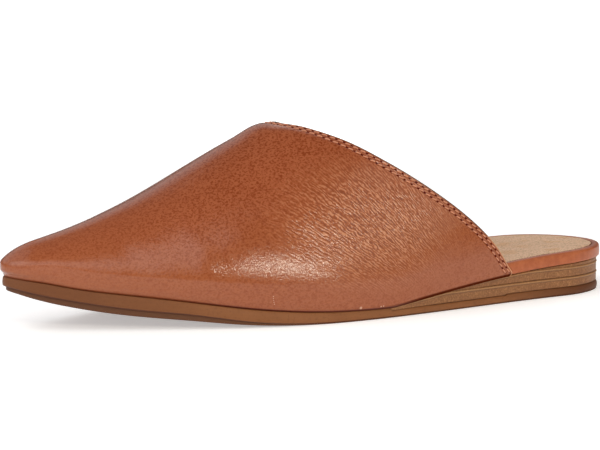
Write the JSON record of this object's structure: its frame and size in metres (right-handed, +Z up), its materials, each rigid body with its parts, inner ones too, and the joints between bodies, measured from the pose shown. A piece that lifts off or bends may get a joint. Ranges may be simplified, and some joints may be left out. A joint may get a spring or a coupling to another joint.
{
  "type": "mule shoe",
  "caption": "Pointed leather slip-on mule with a high closed vamp, an open heel, a padded footbed and a low stacked wedge on a rubber outsole",
  "frame": {"origin": "on the floor under the middle of the shoe's bounding box", "axes": "+X from the heel to the toe, +Y to the wearer's left, which is the outer side of this left shoe, +Z up"},
  "size_m": [0.2712, 0.0884, 0.0772],
  "materials": {
    "upper_leather": "smooth cognac calf with a fine grain, waxed to a soft gloss",
    "footbed_leather": "smooth cognac calf wrapped over the footbed board, soft gloss",
    "sock_suede": "beige brushed lining leather, matte",
    "wedge_stack": "stained and waxed stack layers with light beads, satin",
    "outsole_rubber": "brown moulded rubber with a satin edge"
  },
  "bodies": {
    "root": {"outsole": "outsole_rubber", "wedge_layer_lower": "wedge_stack", "wedge_layer_middle": "wedge_stack", "wedge_layer_top": "wedge_stack", "footbed": "footbed_leather", "sock_lining": "sock_suede", "upper": "upper_leather"}
  },
  "joints": []
}
